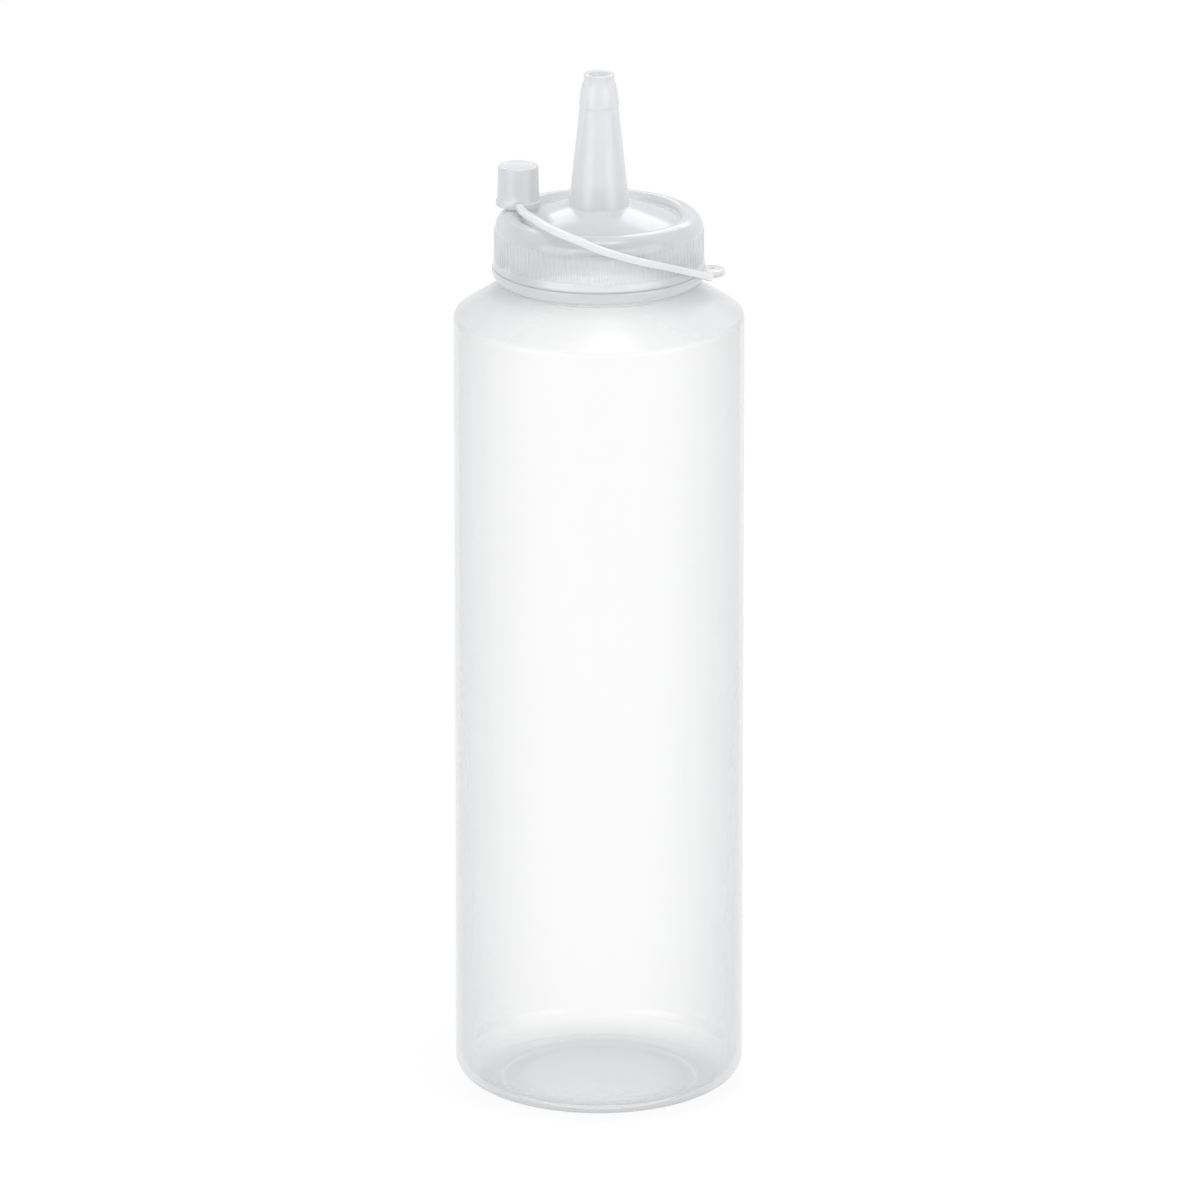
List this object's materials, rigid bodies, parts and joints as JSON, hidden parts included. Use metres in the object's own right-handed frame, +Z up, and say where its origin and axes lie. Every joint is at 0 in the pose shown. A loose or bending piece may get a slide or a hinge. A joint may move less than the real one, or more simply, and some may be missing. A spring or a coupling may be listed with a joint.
{
  "type": "squeeze bottle",
  "caption": "Round translucent squeeze bottle for sauces, with a screw cap, long tapered nozzle and a small push-on tip cap held by a strap.",
  "frame": {"origin": "centre of the standing ring, on the surface that the bottle stands on", "axes": "+Z up along the bottle's axis, towards the nozzle; +X towards the ear of the tether ring; -Y is the side that the strap passes round"},
  "size_m": [0.057, 0.057, 0.2069],
  "materials": {
    "bottle_plastic": "soft milky translucent polyethylene, satin gloss",
    "cap_plastic": "translucent moulded polyethylene, satin gloss, finely ribbed skirt",
    "tether_plastic": "flexible translucent polyethylene, satin gloss"
  },
  "bodies": {
    "bottle": {"bottle": "bottle_plastic"},
    "tether": {"tether_ring": "tether_plastic"},
    "screw_cap": {"screw_cap": "cap_plastic"},
    "strap_lower": {"strap_lower": "tether_plastic"},
    "strap_upper": {"strap_upper": "tether_plastic"},
    "tip_cap": {"tip_cap": "tether_plastic"}
  },
  "joints": [
    {"name": "cap_rise", "type": "slide", "parent": "bottle", "child": "tether", "axis": [0, 0, 1], "range_m": [0, 0.00529]},
    {"name": "cap_turn", "type": "hinge", "parent": "tether", "child": "screw_cap", "pos_m": [0, 0, 0.17], "axis": [0, 0, 1], "range_deg": [0, 450]},
    {"name": "tether_swing", "type": "hinge", "parent": "tether", "child": "strap_lower", "pos_m": [0.02155, -0.00482, 0.16695], "axis": [-0.7144, 0.6262, 0.3122], "range_deg": [0, 81.1], "deforming": ["strap_lower"]},
    {"name": "strap_bend", "type": "hinge", "parent": "strap_lower", "child": "strap_upper", "pos_m": [0.00019, -0.0223, 0.17749], "axis": [0.195, -0.3648, 0.9104], "range_deg": [0, 44.58], "deforming": ["strap_upper"]},
    {"name": "tip_tilt", "type": "hinge", "parent": "strap_upper", "child": "tip_cap", "pos_m": [-0.0149, -0.003, 0.17979], "axis": [-0.2748, -0.9368, 0.2166], "range_deg": [0, 60.49]}
  ],
  "couplings": [
    {"joint": "cap_turn", "follows": "cap_rise", "rad_per_m": 1485.4},
    {"joint": "strap_bend", "follows": "tether_swing", "ratio": 0.54952},
    {"joint": "tip_tilt", "follows": "tether_swing", "ratio": 0.74576}
  ]
}
